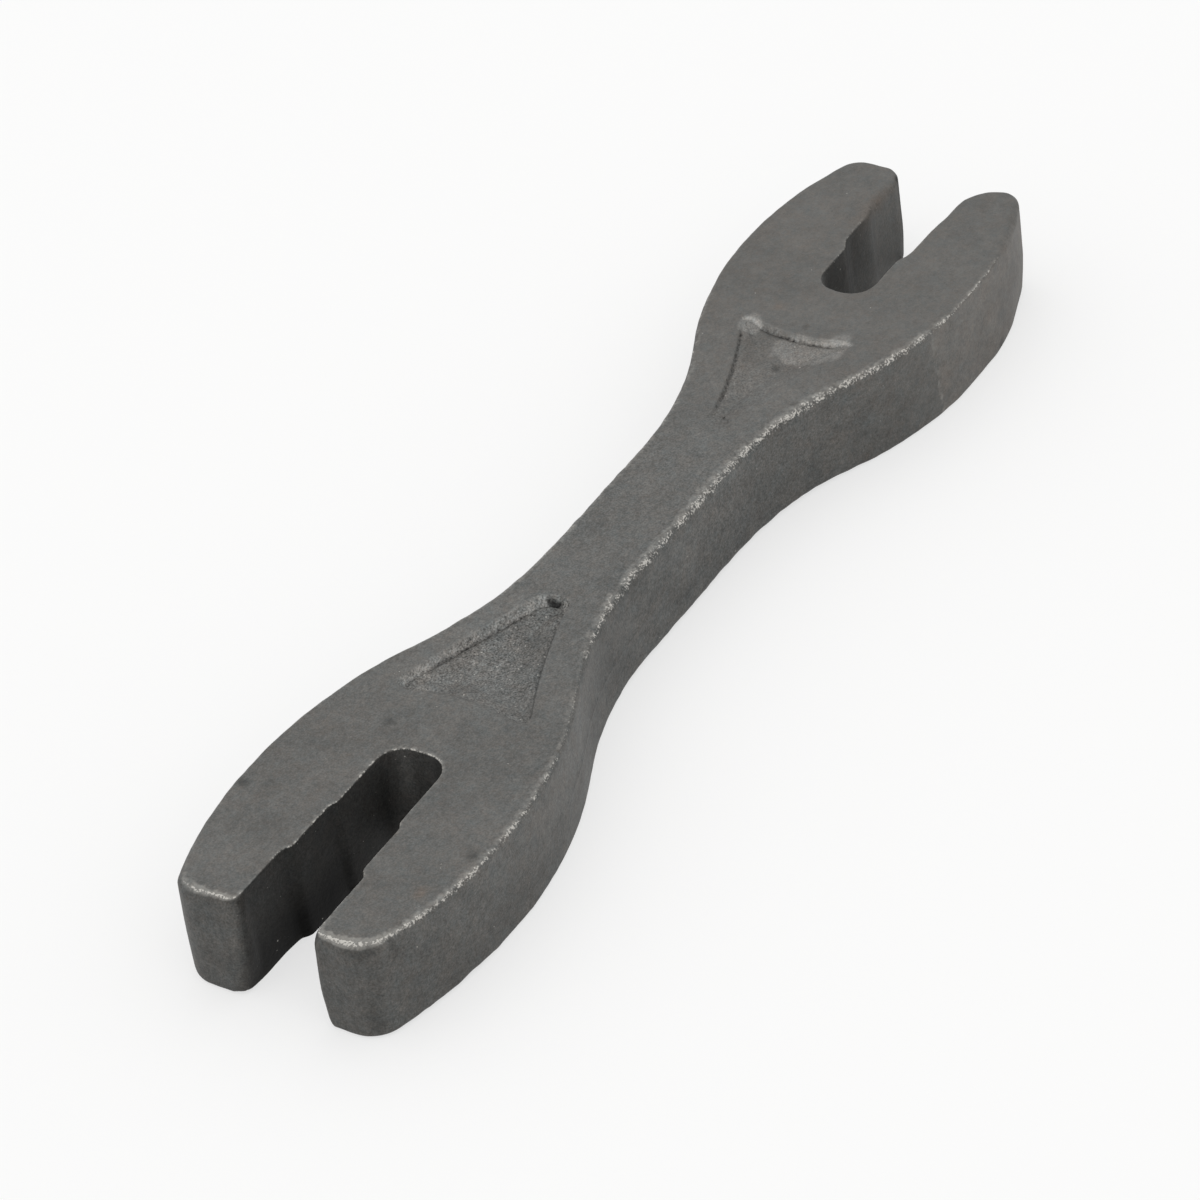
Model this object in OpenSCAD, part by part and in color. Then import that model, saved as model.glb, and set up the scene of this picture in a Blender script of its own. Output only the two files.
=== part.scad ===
// Double-ended spoke wrench: one drop forging with a stepped open jaw at each end.
// X runs along the tool from the wide jaws to the narrow jaws, Z is up.
// The origin is under the middle of the tool, on the face that it rests on.
// All sizes are in millimetres and all angles in degrees.

/* [Whole tool] */
// Length over the tips of both pairs of jaws
tool_length = 101.5; // [98:0.5:112]
// Thickness of the forging, the same from end to end
thickness = 8.7; // [6:0.1:11]
// Width of the handle where it is straight
handle_w = 8.2; // [7:0.1:11]
// Rounding of the long edges along the handle, the part that hands wear
handle_edge_r = 0.95; // [0.3:0.05:1.5]
// Rounding of the long edges around the heads
head_edge_r = 0.55; // [0.2:0.05:0.9]
// Rounding of the edges across the tips of the jaws
tip_edge_r = 0.6; // [0.2:0.05:1.2]
// Rounding of the edges of the jaw openings
slot_edge_r = 0.25; // [0.1:0.05:0.4]
// Slope of the short shoulders between the steps of an opening
shoulder_slope = 60; // [45:5:90]

/* [Wide head] */
// Width of the head that carries the wide jaws
wide_head_w = 22.3; // [20:0.1:26]
// Distance from its jaw tips to its widest place
wide_peak_at = 14.45; // [12:0.05:17]
// Radius of its bowed flanks
wide_flank_r = 39; // [32:0.5:50]
// Radius of the hollow curve from its flanks to the handle
wide_throat_r = 33.5; // [24:0.5:42]
// Radius of the outer corners of its jaws
wide_corner_r = 2.8; // [1.5:0.1:4]
// Radius of the inner corners of its jaws, at the mouth
wide_mouth_r = 0.8; // [0.3:0.05:1.4]
// How far its opening lies right of the middle of the head
wide_opening_shift = 0.2; // [0:0.05:0.4]

/* [Wide jaws] */
// Opening across the flats of the outer step
wide_outer_af = 7.15; // [6.6:0.05:7.8]
// Opening across the flats of the middle step
wide_middle_af = 6.1; // [5.8:0.05:6.4]
// Opening across the flats of the inner step
wide_inner_af = 5.4; // [4.6:0.05:5.6]
// Depth from the jaw tips to the end of the outer step
wide_outer_depth = 7.5; // [5:0.1:9]
// Depth from the jaw tips to the end of the middle step
wide_middle_depth = 13; // [11:0.1:15]
// Depth from the jaw tips to the root of the opening
wide_root_depth = 20.5; // [18:0.1:24]
// Radius of the two corners of the root
wide_root_r = 2; // [1:0.05:2.2]

/* [Narrow head] */
// Width of the head that carries the narrow jaws
narrow_head_w = 21.3; // [19:0.1:25]
// Distance from the tip of its longer jaw, the right one, to its widest place
narrow_peak_at = 14; // [11.5:0.1:16.5]
// How much shorter its left jaw is than its right one
narrow_left_short = 0.5; // [0:0.05:1]
// Radius of its bowed flanks
narrow_flank_r = 33.7; // [28:0.1:46]
// Radius of the hollow curve from its flanks to the handle
narrow_throat_r = 30.9; // [24:0.1:40]
// Radius of the outer corners of its jaws
narrow_corner_r = 2; // [1.5:0.1:4]
// Radius of the inner corner of its left jaw, at the mouth
narrow_left_mouth_r = 1.7; // [0.8:0.1:3.2]
// Radius of the inner corner of its right jaw, at the mouth
narrow_right_mouth_r = 3.3; // [0.8:0.1:3.4]
// How far its opening lies right of the middle of the head
narrow_opening_shift = 0.25; // [0:0.05:0.5]
// Width left where the right flank is ground flat
ground_flat_w = 21.15; // [20:0.05:21.3]

/* [Narrow jaws] */
// Opening across the flats of the outer step
narrow_outer_af = 6.4; // [6.1:0.05:7.2]
// Opening across the flats of the middle step
narrow_middle_af = 5.8; // [5:0.05:5.9]
// Opening across the flats of the inner step
narrow_inner_af = 4.65; // [4.1:0.05:4.8]
// Depth from the longer jaw's tip to the end of the outer step
narrow_outer_depth = 6.6; // [5.5:0.1:8]
// Depth from the longer jaw's tip to the end of the middle step
narrow_middle_depth = 11.8; // [10:0.1:13.5]
// Depth from the longer jaw's tip to the root of the opening
narrow_root_depth = 17.9; // [16:0.1:20.5]
// Radius of the two corners of the root
narrow_root_r = 1.9; // [1:0.05:1.95]

/* [Wide pocket] */
// Distance from the jaw tips to the base of the hollow in the wide head
wide_pocket_at = 27; // [25.5:0.1:30]
// Distance from the jaw tips to the apex of that hollow
wide_pocket_end = 40.3; // [36:0.1:43]
// Width of the hollow at its base
wide_pocket_w = 11.7; // [8:0.1:13]
// Radius of its apex
wide_apex_r = 1.6; // [1:0.05:2]
// Radius of the curve of its base, which follows the head
wide_base_r = 16; // [12:0.5:30]
// Depth of the hollow at its base
wide_base_depth = 0.6; // [0.3:0.05:1.2]
// Depth of the hollow at its apex
wide_apex_depth = 1; // [0.3:0.05:1.4]

/* [Narrow pocket] */
// Distance from the longer jaw's tip to the base of the hollow in the narrow head
narrow_pocket_at = 24.6; // [22.5:0.1:27]
// Distance from that tip to the apex of the hollow
narrow_pocket_end = 37.6; // [33.5:0.1:40]
// Width of the hollow at its base
narrow_pocket_w = 10.7; // [8:0.1:12]
// Radius of its apex
narrow_apex_r = 1.4; // [1:0.05:1.8]
// Radius of the curve of its base, which follows the head
narrow_base_r = 13; // [11:0.5:26]
// Depth of the hollow at its base
narrow_base_depth = 0.65; // [0.3:0.05:1.2]
// Depth of the hollow at its apex
narrow_apex_depth = 0.6; // [0.3:0.05:1.2]

/* [Both pockets] */
// Radius of the two corners at the base of a hollow
pocket_corner_r = 0.9; // [0.7:0.05:1.2]
// How far the side walls of a hollow lean in over its depth
pocket_side_run = 0.45; // [0.1:0.05:0.6]
// How far the wall at the base of a hollow leans in over its depth
pocket_base_run = 0.6; // [0.1:0.05:1]

/* [Hidden] */
// How far a cut runs past the faces that it opens.
overrun = 1;
// The most that a straight facet may stray from its arc.
arc_sag = 0.015;
// Points closer together than this are one point.
same_point = arc_sag / 10;
// Facets across the rounding of an edge.
edge_steps = 3;
// The largest share of a hollow corner's radius that an edge rounding may take.
rounding_share = 0.75;
// The wall of a pocket from its brow to its foot, as shares of its run and of its depth.
pocket_wall_shares = [[0, 0], [0.12, 0.04], [0.3, 0.16], [0.5, 0.38], [1, 1]];

// An outline is a list of points. Each holds its place, the direction that faces out of the
// shape there, and a size that the edge at that point has: a rounding or the run of a wall.
function arc(cx, cy, r, from, to, bend, size_from, size_to) =
    let (
        step = 2 * acos(1 - min(1, arc_sag / r)),
        count = max(2, ceil(abs(to - from) / step))
    )
    [
        for (i = [0:count])
            let (share = i / count, a = from + (to - from) * share)
            [
                cx + r * cos(a),
                cy + r * sin(a),
                bend * cos(a),
                bend * sin(a),
                size_from + (size_to - size_from) * share
            ]
    ];

// A run without the points that two arcs share where they meet.
function joined(run) = [
    for (i = [0:len(run) - 1])
        if (i == 0 || norm([run[i][0] - run[i - 1][0], run[i][1] - run[i - 1][1]]) > same_point)
            run[i]
];
function across(p) = [p[0], -p[1], p[2], -p[3], p[4]];
function backwards(run) = [for (i = [len(run) - 1:-1:0]) run[i]];

// The whole outline from its left half and its right half. Both are drawn above the X axis, and
// the right one is turned over to below it. A point on the axis isn't doubled.
function halves(left, right) =
    concat(joined(left), [for (p = backwards(joined(right))) if (p[1] > same_point) across(p)]);

// One flank of a head, from the jaw tip to the handle. Here x is the distance from the jaw tips.
// The corner, the bowed flank, the hollow throat and the handle all meet in a tangent.
function flank(peak_at, head_w, flank_r, throat_r, corner_r) =
    let (
        flank_y = head_w / 2 - flank_r,
        corner_y = flank_y + sqrt(pow(flank_r - corner_r, 2) - pow(peak_at - corner_r, 2)),
        throat_y = handle_w / 2 + throat_r,
        throat_x = peak_at + sqrt(pow(flank_r + throat_r, 2) - pow(throat_y - flank_y, 2)),
        corner_a = atan2(corner_y - flank_y, corner_r - peak_at),
        throat_a = atan2(throat_y - flank_y, throat_x - peak_at)
    )
    concat(
        arc(corner_r, corner_y, corner_r, 180, corner_a, 1, tip_edge_r, head_edge_r),
        arc(peak_at, flank_y, flank_r, corner_a, throat_a, 1, head_edge_r, head_edge_r),
        arc(throat_x, throat_y, throat_r, throat_a + 180, 270, -1, head_edge_r, handle_edge_r)
    );

// The flank of the wide head, and that of the narrow head whose jaw is shorter by the given gap.
// The narrow one starts inside the opening, so that the tip of each jaw is flat.
wide_flank = [
    for (p = flank(wide_peak_at, wide_head_w, wide_flank_r, wide_throat_r, wide_corner_r))
        [p[0] - tool_length / 2, p[1], p[2], p[3], p[4]]
];
function narrow_flank(gap) =
    let (
        tip = [0, narrow_inner_af / 4, -1, 0, tip_edge_r],
        run = flank(narrow_peak_at - gap, narrow_head_w, narrow_flank_r, narrow_throat_r, narrow_corner_r)
    )
    [for (p = concat([tip], run)) [tool_length / 2 - gap - p[0], p[1], -p[2], p[3], p[4]]];
tool_outline = halves(
    concat(narrow_flank(narrow_left_short), backwards(wide_flank)),
    concat(narrow_flank(0), backwards(wide_flank))
);

// The shoulder between two steps of an opening, from the narrower wall to the wider one.
function shoulder(at, inner_w, outer_w) =
    let (
        r = (outer_w - inner_w) / 4 / (1 - cos(shoulder_slope)),
        half_run = r * sin(shoulder_slope),
        hollow_size = min(slot_edge_r, r * rounding_share)
    )
    concat(
        arc(at + half_run, inner_w / 2 + r, r, 270, 270 - shoulder_slope, -1, hollow_size, hollow_size),
        arc(at - half_run, outer_w / 2 - r, r, 90 - shoulder_slope, 90, 1, slot_edge_r, slot_edge_r)
    );

// One wall of a stepped opening, from its root out past the tip of its jaw, which is shorter than
// the longest jaw by the given gap. x is the distance from the tip of the longest jaw.
function wall(flats, depths, root_r, mouth_r, gap) =
    let (
        corner_r = min(root_r, flats[2] / 2 - arc_sag),
        mouth_y = flats[0] / 2 + mouth_r,
        tip_size = min(tip_edge_r, mouth_r * rounding_share),
        wall_size = min(slot_edge_r, mouth_r * rounding_share)
    )
    concat(
        arc(depths[2] - corner_r, flats[2] / 2 - corner_r, corner_r, 0, 90, 1, slot_edge_r, slot_edge_r),
        shoulder(depths[1], flats[2], flats[1]),
        shoulder(depths[0], flats[1], flats[0]),
        arc(gap + mouth_r, mouth_y, mouth_r, 270, 180, -1, wall_size, tip_size),
        [[-overrun, mouth_y, 0, 1, tip_size]]
    );

// A hollow in the face of a head: two straight sides that run from a rounded apex to a base that
// curves around the head. x is the distance from the jaw tips.
function hollow(at, end, base_w, apex_r, base_r) =
    let (
        base_x = at - base_r,
        apex_x = end - apex_r,
        corner_y = base_w / 2 - pocket_corner_r,
        corner_x = base_x + sqrt(pow(base_r + pocket_corner_r, 2) - pow(corner_y, 2)),
        reach = norm([apex_x - corner_x, corner_y]),
        side_a = acos((pocket_corner_r - apex_r) / reach) - atan2(corner_y, apex_x - corner_x),
        base_a = atan2(corner_y, corner_x - base_x)
    )
    let (
        side = concat(
            arc(apex_x, 0, apex_r, 0, side_a, 1, pocket_side_run, pocket_side_run),
            arc(corner_x, corner_y, pocket_corner_r, side_a, base_a + 180, 1, pocket_side_run, pocket_base_run),
            arc(base_x, 0, base_r, base_a, 0, -1, pocket_base_run, pocket_base_run)
        )
    )
    halves(side, side);

// The triangles that close a ring, as a strip between its left half and its right half. Each step
// of the strip goes on along the half that is behind the other.
function next_rung(outline, turn, rung) =
    let (
        way = sign(outline[turn - 1][0] - outline[0][0]),
        left_lead = way * (outline[rung[0]][0] - outline[rung[1]][0]),
        go_left = rung[1] == turn || (rung[0] + 1 < turn && left_lead <= 0)
    )
    go_left ? [rung[0] + 1, rung[1]] : [rung[0], rung[1] - 1];
function strip(outline) =
    let (turn = len([for (p = outline) if (p[1] > 0) p]))
    [
        for (
            rung = [0, len(outline) - 1];
            rung[0] + 1 < turn || rung[1] > turn;
            rung = next_rung(outline, turn, rung)
        )
            let (next = next_rung(outline, turn, rung))
            next[0] > rung[0] ? [rung[0], next[0], rung[1]] : [rung[0], next[1], rung[1]]
    ];

// The triangles that close a ring, as a fan from its first point.
function fan(outline) = [for (i = [1:len(outline) - 2]) [0, i, i + 1]];

// A closed skin over rings of points that lie one above the other, the lowest first.
module skin(rings, closing) {
    n = len(rings[0]);
    top = len(rings) - 1;
    sides = [
        for (i = [0:top - 1], j = [0:n - 1])
            let (k = (j + 1) % n, low = i * n, high = low + n)
            each [[low + j, high + j, high + k], [low + j, high + k, low + k]]
    ];
    polyhedron(
        points = [for (ring = rings) each ring],
        faces = concat(closing, sides, [for (t = closing) [for (j = backwards(t)) top * n + j]])
    );
}

// One ring along the rounded edge of an outline, at an angle from the wall to the face. The edge
// turns in towards the shape with side -1 and out of it with side 1.
function edge_ring(outline, angle, side, face_z, up) = [
    for (p = outline)
        let (reach = side * p[4] * (1 - cos(angle)))
        [p[0] + p[2] * reach, p[1] + p[3] * reach, face_z - up * p[4] * (1 - sin(angle))]
];
function bottom_edge(outline, side) =
    [for (i = [edge_steps:-1:0]) edge_ring(outline, 90 * i / edge_steps, side, 0, -1)];
function top_edge(outline, side) =
    [for (i = [0:edge_steps]) edge_ring(outline, 90 * i / edge_steps, side, thickness, 1)];

// The plain forging, before its openings are cut.
module blank() {
    skin(concat(bottom_edge(tool_outline, -1), top_edge(tool_outline, -1)), strip(tool_outline));
}

// The cutter of an opening. Its wall flares at both faces, which leaves the opening's edges round.
module opening_cutter(outline) {
    rings = concat(
        [edge_ring(outline, 90, 1, -overrun, -1)],
        bottom_edge(outline, 1),
        top_edge(outline, 1),
        [edge_ring(outline, 90, 1, thickness + overrun, 1)]
    );
    skin(rings, strip(outline));
}

// The cutter of a hollow in the top face. Its floor slopes evenly from base to apex.
module hollow_cutter(outline, at, end, base_depth, apex_depth) {
    walls = [
        for (i = [len(pocket_wall_shares) - 1:-1:0])
            let (run_share = pocket_wall_shares[i][0], depth_share = pocket_wall_shares[i][1])
            [
                for (p = outline)
                    let (depth = base_depth + (apex_depth - base_depth) * (p[0] - at) / (end - at))
                    [
                        p[0] - p[2] * p[4] * run_share,
                        p[1] - p[3] * p[4] * run_share,
                        thickness - depth * depth_share
                    ]
            ]
    ];
    brim = [for (p = outline) [p[0], p[1], thickness + overrun]];
    skin(concat(walls, [brim]), fan(outline));
}

module on_both_faces() {
    children();
    translate([0, 0, thickness]) mirror([0, 0, 1]) children();
}

module at_wide_end() {
    translate([-tool_length / 2, 0, 0]) children();
}

module at_narrow_end() {
    translate([tool_length / 2, 0, 0]) mirror([1, 0, 0]) children();
}

module wide_opening() {
    side = wall(
        [wide_outer_af, wide_middle_af, wide_inner_af],
        [wide_outer_depth, wide_middle_depth, wide_root_depth],
        wide_root_r, wide_mouth_r, 0
    );
    translate([0, -wide_opening_shift, 0]) opening_cutter(halves(side, side));
}

module narrow_opening() {
    flats = [narrow_outer_af, narrow_middle_af, narrow_inner_af];
    depths = [narrow_outer_depth, narrow_middle_depth, narrow_root_depth];
    translate([0, -narrow_opening_shift, 0])
        opening_cutter(halves(
            wall(flats, depths, narrow_root_r, narrow_left_mouth_r, narrow_left_short),
            wall(flats, depths, narrow_root_r, narrow_right_mouth_r, 0)
        ));
}

module wide_hollow() {
    hollow_cutter(
        hollow(wide_pocket_at, wide_pocket_end, wide_pocket_w, wide_apex_r, wide_base_r),
        wide_pocket_at, wide_pocket_end, wide_base_depth, wide_apex_depth
    );
}

module narrow_hollow() {
    hollow_cutter(
        hollow(narrow_pocket_at, narrow_pocket_end, narrow_pocket_w, narrow_apex_r, narrow_base_r),
        narrow_pocket_at, narrow_pocket_end, narrow_base_depth, narrow_apex_depth
    );
}

// What the grinding wheel takes off the right flank of the narrow head.
module ground_flat() {
    ground_y = ground_flat_w - narrow_head_w / 2;
    translate([0, -ground_y - narrow_head_w, -overrun])
        cube([tool_length / 2 + overrun, narrow_head_w, thickness + 2 * overrun]);
}

module wrench_body() {
    color("dimgray")
    difference() {
        blank();
        at_wide_end() wide_opening();
        at_wide_end() on_both_faces() wide_hollow();
        at_narrow_end() narrow_opening();
        at_narrow_end() on_both_faces() narrow_hollow();
        ground_flat();
    }
}

wrench_body();
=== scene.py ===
# Spoke wrench: how a drop-forged steel tool looks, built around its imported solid.
# The tool lies flat. X runs from its wide jaws to its narrow jaws, and its left flank is at +Y.
import math
from collections import namedtuple

import bmesh
import bpy
import numpy as np
from mathutils import Matrix, Vector, noise
from mathutils.bvhtree import BVHTree
from mathutils.geometry import delaunay_2d_cdt
from mathutils.kdtree import KDTree


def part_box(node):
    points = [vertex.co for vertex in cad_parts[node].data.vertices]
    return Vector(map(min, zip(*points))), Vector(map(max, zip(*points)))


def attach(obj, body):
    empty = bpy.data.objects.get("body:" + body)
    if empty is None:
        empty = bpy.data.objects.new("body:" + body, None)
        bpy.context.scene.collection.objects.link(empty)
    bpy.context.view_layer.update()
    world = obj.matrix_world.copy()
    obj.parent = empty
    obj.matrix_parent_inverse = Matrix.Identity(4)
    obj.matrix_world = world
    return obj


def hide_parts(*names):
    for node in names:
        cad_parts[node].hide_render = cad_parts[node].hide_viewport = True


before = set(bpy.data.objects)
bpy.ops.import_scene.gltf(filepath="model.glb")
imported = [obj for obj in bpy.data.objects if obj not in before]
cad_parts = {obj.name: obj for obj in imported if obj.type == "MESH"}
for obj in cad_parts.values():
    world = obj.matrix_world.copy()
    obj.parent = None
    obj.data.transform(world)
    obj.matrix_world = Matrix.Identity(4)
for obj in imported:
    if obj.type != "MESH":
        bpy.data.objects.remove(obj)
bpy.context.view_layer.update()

MM = 0.001
BODY = "root"
SOLID = "wrench_body"
LOW, HIGH = (np.array(corner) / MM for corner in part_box(SOLID))
LENGTH = HIGH[0] - LOW[0]
THICK = HIGH[2] - LOW[2]
TIP_X = LENGTH / 2

# Camera: a long lens that looks down on the wide jaws, fitted to the tool's outline in the photograph.
LENS_MM = 154.38
SENSOR_MM = 36
AZIMUTH = -53.387
ELEVATION = 38.376
ROLL = -8.407
DISTANCE_MM = 406.288
TARGET_MM = (-0.747, 3.377, 0)

camera = bpy.data.objects.new("camera", bpy.data.cameras.new("camera"))
bpy.context.scene.collection.objects.link(camera)
camera.data.lens = LENS_MM
camera.data.sensor_width = SENSOR_MM
camera.matrix_world = (
    Matrix.Translation(Vector(TARGET_MM) * MM)
    @ Matrix.Rotation(math.radians(AZIMUTH), 4, "Z")
    @ Matrix.Rotation(math.radians(90 - ELEVATION), 4, "X")
    @ Matrix.Rotation(math.radians(ROLL), 4, "Z")
    @ Matrix.Translation((0, 0, DISTANCE_MM * MM))
)
bpy.context.scene.camera = camera

# Mesh spacing, in mm: along the outline, up the walls, over the flat faces and in the hollows.
OUTLINE_STEP = 0.28
WALL_STEP = 0.42
FACE_STEP = 0.45
HOLLOW_STEP = 0.2
EDGE_RINGS = 7
# Points closer together than this, in mm, are one point.
SAME_POINT = 0.002
# A corner that stands out by less than this, in mm, and turns past the angle with this cosine is smoothed away.
SLIVER = 0.1
SLIVER_COSINE = 0.3
# The points of an even filling keep this share of their step clear of the outline and of the hollows' rings.
CLEAR_OF_RIM = 0.6
CLEAR_OF_RINGS = 0.5
# The rings of a hollow's wall run from this far in from its brow to this far, this far apart, in mm.
HOLLOW_RINGS = (-1, 1.3, 0.085)
# The brow of a hollow is read this far below the top face, in mm.
BROW_DEPTH = 0.02

# What a point of the outline is on. Each pair gives where the answer turns from no to yes, in mm or as the share
# by which the wall faces along X: near the middle line and far enough out for an opening, near an end and facing
# it for a jaw's tip, and to the right of the middle line.
OPENING_Y = (4.6, 3.7)
OPENING_X = (28, 29)
TIP_REACH = (3.5, 1.5)
TIP_FACING = (0.3, 0.8)
RIGHT_Y = (0.5, -0.5)
# The same for the shoulders between the steps of an opening: near an end, and facing along X.
SHOULDER_REACH = (17, 10)
WIDE_SHOULDER_FACING = (0.25, 0.7)
NARROW_SHOULDER_FACING = (0.08, 0.4)
# A point is on a wall until its edge has risen by the first share, and on a face from the second.
FACE_RISE = (0.3, 0.8)

# Rounding of the top edges, in mm, at places along X given in mm from the middle of the tool.
RIGHT_EDGE_R = {
    -50: 0.85, -45: 0.65, -38: 0.55, -24: 0.55, -8: 0.85, 10: 0.85, 20: 0.75, 29: 0.6, 33: 0.3, 41: 0.3,
    44: 0.8, 47: 0.85, 50: 0.55,
}
LEFT_EDGE_R = {-50: 0.75, -46: 0.5, -24: 0.45, -8: 0.7, 10: 0.7, 24: 0.5, 44: 0.38, 49: 0.5}
LEFT_OPENING_R = {-50.3: 0.35, -49: 0.2, -30: 0.2, 32: 0.2, 42.5: 0.3, 45: 0.75, 48: 0.8, 49.6: 0.5}
RIGHT_OPENING_R = {-50.3: 0.35, -49: 0.2, -30: 0.2, 42: 0.3, 46: 0.45, 49.6: 0.45}
# Rounding of the edges underneath, in the same way.
UNDER_EDGE_R = {
    -50.6: 0.35, -48: 0.6, -45: 0.75, -41: 0.75, -36: 0.4, -24: 0.4, -8: 0.7, 10: 0.8, 17: 0.8, 24: 0.35,
    30: 0.3, 50: 0.4,
}
UNDER_OPENING_R = {-50.6: 0.9, -49.8: 0.35, -48: 0.12, 48: 0.2, 49: 0.9, 50: 0.6}
# How unevenly the edges are worn: the shares by which their rounding swings, each with the width of its waves in mm.
UNEVEN = ((0.22, 3.5), (0.16, 0.9))
# An edge's rounding and lean may take this share of the radius of a bend in the outline, and no bend counts that
# is weaker than this, in 1/mm. From one point to the next, this room widens by no more than this many mm.
ROOM_SHARE = 0.75
LEAST_BEND = 0.1
ROOM_STEP = 0.05
ROOM_PASSES = 8
# How far along the outline its corners are worn away inside an opening, in mm, on each side of it.
LEFT_CORNER_WEAR = {-50: 0.25, 30: 0.2, 36: 0.4, 43: 0.5}
RIGHT_CORNER_WEAR = {-50: 0.25, 30: 0.2, 36: 0.4, 43: 0.7}
# How bright the wear along the edges is, from 0 to 1. At the wide jaws' tips it is partly a painted highlight.
RIGHT_WEAR_AND_HIGHLIGHT = {
    -50.5: 2.5, -49.3: 1.2, -47: 0.9, -44: 0.9, -38: 0.8, -29: 0.8, -25: 0.5, -18: 0.4, -12: 0.7, -7: 0.9,
    12: 0.9, 18: 1, 29: 1, 32: 0.85, 38: 0.75, 41.5: 0.6, 44: 0.1,
}
LEFT_WEAR_AND_HIGHLIGHT = {-50.5: 1.5, -49.9: 0.8, -49.2: 0.3, -20: 0.35, -7: 0.6, 12: 0.6, 24: 0.5, 44: 0.2}
OPENING_WEAR_AND_HIGHLIGHT = {-50.5: 2.3, -49.4: 0.7, -47: 0.6, -42: 0.75, -30: 1, 32: 0.4, 40: 0.55, 44: 0.3, 49: 0.1}

# The walls are fullest at the height where the dies part. From there they lean in to both faces,
# by these amounts in mm at the top and underneath.
PARTING_Z = 3.7
FLANK_LEAN = (0.04, 0.04)
WIDE_TIP_LEAN = (0.13, 0.03)
NARROW_TIP_LEAN = (0.01, 0.5)
NARROW_FLANK_LEAN = (0.04, 0.28)
OPENING_LEAN = (0.02, 0.02)
NARROW_MOUTH_LEAN = (0.03, 0.24)
# The two leans of the narrow jaws' walls come in between these places along X.
NARROW_FLANK_X = (43, 47)
NARROW_MOUTH_X = (42, 47)
# A lean grows from the parting line as this power of the height, above it and below it.
LEAN_POWERS = (2, 1.4)
# The ends of the wide jaws slant back towards the top, by this much in mm at places across the tool.
# The slant comes in between these places along X, and grows as this power of the height.
END_SLANT = {-8: 0, -6: 0.05, -3.5: 0.35, 3.5: 0.75, 5.5: 0.55, 9: 0.05}
END_SLANT_X = (-47.5, -50.5)
END_SLANT_POWER = 1.5
# Their corners beside the opening stand out into it at mid height, by this much in mm. This comes in between these
# places along X and across the tool, and is gone again this far below the top face and this far above the bench.
FOOT_OUT = 0.3
FOOT_X = (-48, -49.3)
FOOT_Y = (5.2, 4.2)
FOOT_BELOW_TOP = 1.4
FOOT_ABOVE_BENCH = 3.5
# The punch went in from the top, so the openings are narrower underneath, by this much in mm on each side.
OPENING_DRAFT = {-50: 0.12, -45.5: 0.15, -43.2: 0.36, -30: 0.36, 30: 0.1}
# How far the flanks and the openings' walls are set out, in mm. Relief and ridge take it away again. It comes in
# over these distances from the tips, because the jaws' ends stay within the solid's own length.
SET_OUT = (0.075, 0.03)
SET_OUT_REACH = (0.6, 1.5)
# The outer steps of the narrow jaws sit a little further left than the others.
LEFT_WALL_NUDGE = {43.6: 0, 44.4: 0.1, 47.5: 0.1, 48.5: 0}
RIGHT_WALL_NUDGE = {43.6: 0, 44.4: -0.13, 48.3: -0.13, 49.3: 0}
# The thin ridge where the dies part, and how much of it is left at places along X.
RIDGE = 0.035
RIDGE_HALF = 0.14
RIDGE_LEFT = {-50: 0.2, -30: 0.5, -12: 1, 8: 0.6, 12: 1, 29: 1, 31: 0}
# The rings of a wall at the ridge, as shares of its half width away from it.
RIDGE_RINGS = (-3, -1.8, -1, -0.5, 0, 0.5, 1, 1.8, 3)

# Each side of a hollow. It bows inwards halfway along, and its wall runs from start to end in from the brow, all in
# mm. The wall's foot reaches this share of the depth. Then how dark the painted shade at the foot is, half the width
# of that line in mm, and how much paler the wall is, partly paler steel and partly painted light.
Side = namedtuple("Side", "bow start end share soot soot_half pale")
WIDE_SIDES = {
    "left": Side(0, -0.4, 0.15, 0.75, 1, 0.16, 1.05),
    "right": Side(0.45, 0, 0.35, 0.6, 0.75, 0.25, 0),
    "base": Side(0, -0.2, 0.5, 0.5, 0, 0.1, 0.1),
    "apex": Side(0, -0.3, 0.3, 0.7, 0, 0.1, 0.9),
}
NARROW_SIDES = {
    "left": Side(0.65, 0.08, 0.25, 0.3, 0.95, 0.13, 0),
    "right": Side(0.3, 0.3, 0.9, 0.3, 0.1, 0.12, 0),
    "base": Side(0, -0.2, 0.2, 0.7, 1, 0.15, 1.5),
    "apex": Side(0, -0.1, 0.5, 0.3, 0, 0.1, 0),
}
# What else sets the two hollows apart. The painted shade beside a hollow starts between these shares of the way
# from its base to its apex. Then how rough its floor is, how much shallower it is in the corners at its base, how pale
# the walls' bands are at the base, partly with painted light, and how much that grows towards the apex.
Hollow = namedtuple("Hollow", "sides soot_from rough corners_shallower pale_at_base pale_growth")
WIDE_HOLLOW = Hollow(WIDE_SIDES, (0.1, 0.3), 0.9, 0, 0.6, 0.9)
NARROW_HOLLOW = Hollow(NARROW_SIDES, (0.03, 0.15), 0.5, 0.75, 1, 0)
# A brow belongs to the base or the apex of its hollow where it faces along X by this much, and to the left side
# where it faces along Y by this much.
BASE_FACING = (0.4, 0.85)
LEFT_FACING = (-0.3, 0.3)
# The painted shade ends between these shares of the way to the apex, and at the base between these places across
# the tool.
CREASE_SHADE_TO = (0.92, 0.78)
CREASE_SHADE_Y = (4, 3)
# The shallower corners lie out here across the tool, in mm, and this near to the base, as shares of the way.
CORNER_Y = (3, 5)
CORNER_ALONG = (0.4, 0.2)
# Two places, as shares of the way from base to apex, at which the depth of the solid's own floor is read.
DEPTH_READ_AT = (0.25, 0.65)
# The floor of a hollow sinks over this distance in from the foot of its walls, and a groove runs along the foot
# where it is painted dark with shade.
FLOOR_RAMP = 1.8
GROOVE_DEPTH = 0.12
# A wall's pale band, which is partly paler steel and partly painted light, comes in and goes out again over these
# distances from the wall's start and end, in mm. The floor's roughness comes in over this distance.
PALE_AND_LIT_IN = (-0.1, 0.3)
PALE_AND_LIT_OUT = (0.1, -0.2)
ROUGH_IN = 0.3
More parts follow.
